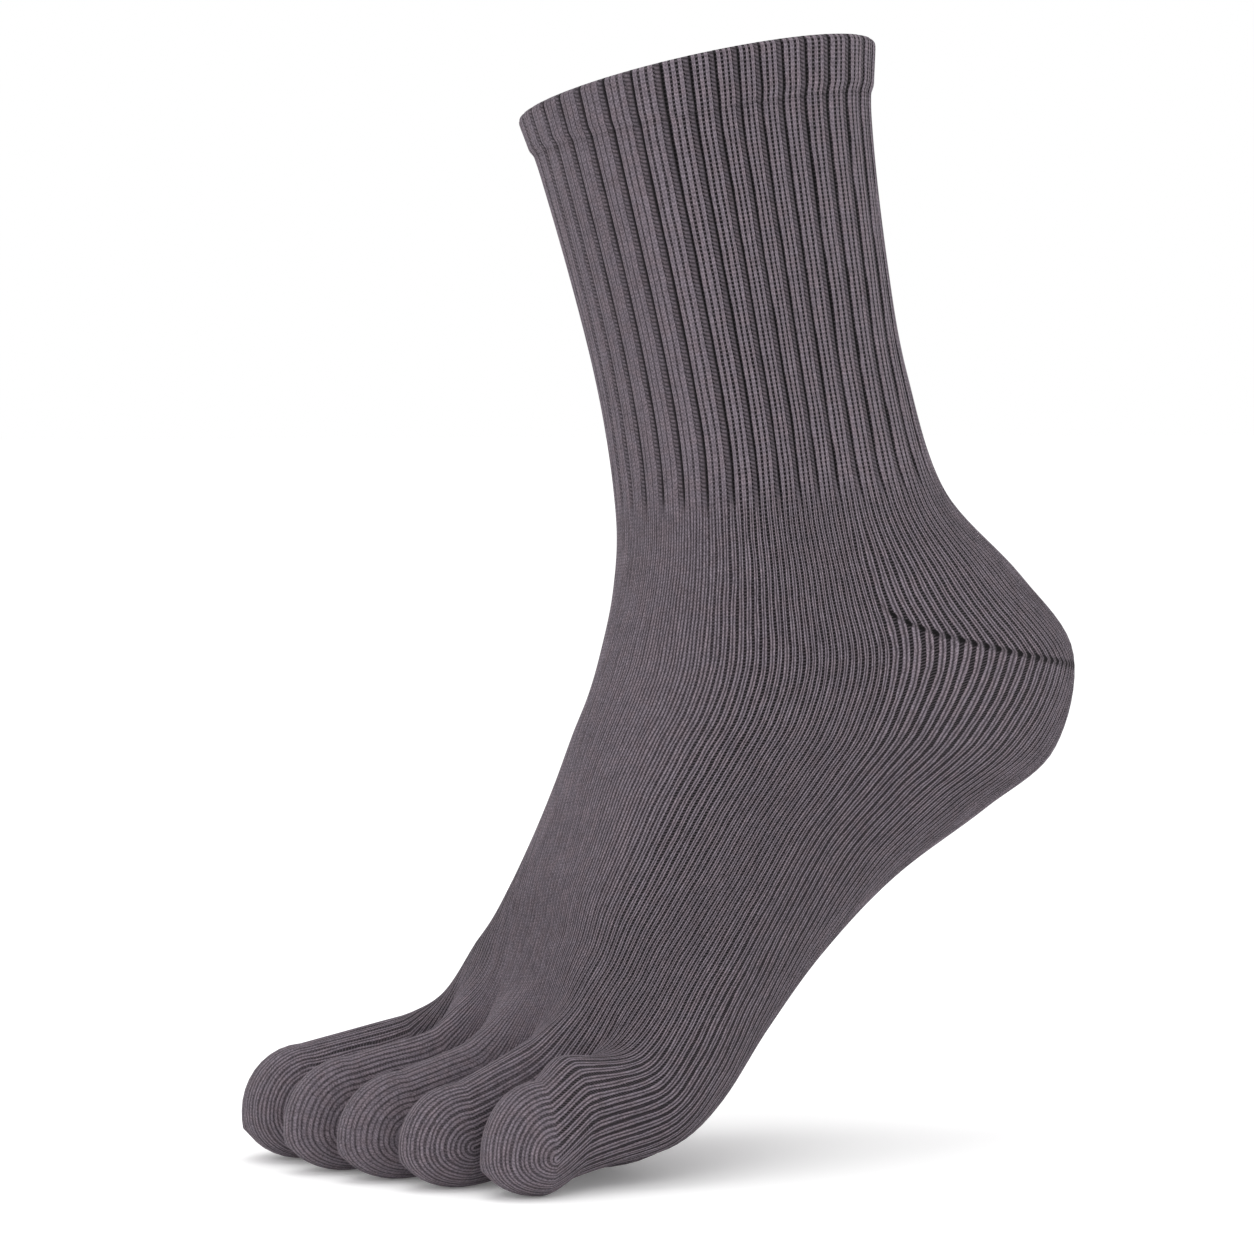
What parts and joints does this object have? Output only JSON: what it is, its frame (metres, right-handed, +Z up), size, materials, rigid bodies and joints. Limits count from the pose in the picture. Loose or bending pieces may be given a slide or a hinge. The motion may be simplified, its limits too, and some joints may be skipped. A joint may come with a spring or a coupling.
{
  "type": "toe sock",
  "caption": "Left toe sock in plain knit with a ribbed leg, a turned-over welt and a pocket for each toe, shown as worn with the heel raised.",
  "frame": {"origin": "centre of the cuff opening, in the plane of the rim", "axes": "+Z up as the sock stands with the heel raised, toes towards -X, big toe towards +Y"},
  "size_m": [0.1921, 0.0914, 0.2494],
  "materials": {
    "rib_knit": "grey-mauve cotton rib knit, three plain wales to one sunk wale",
    "plain_knit": "grey-mauve cotton plain knit"
  },
  "bodies": {
    "root": {"welt": "rib_knit", "ribbed_leg": "rib_knit", "ankle": "plain_knit", "heel": "plain_knit", "foot": "plain_knit", "toe_big": "plain_knit", "toe_second": "plain_knit", "toe_third": "plain_knit", "toe_fourth": "plain_knit", "toe_little": "plain_knit"}
  },
  "joints": []
}
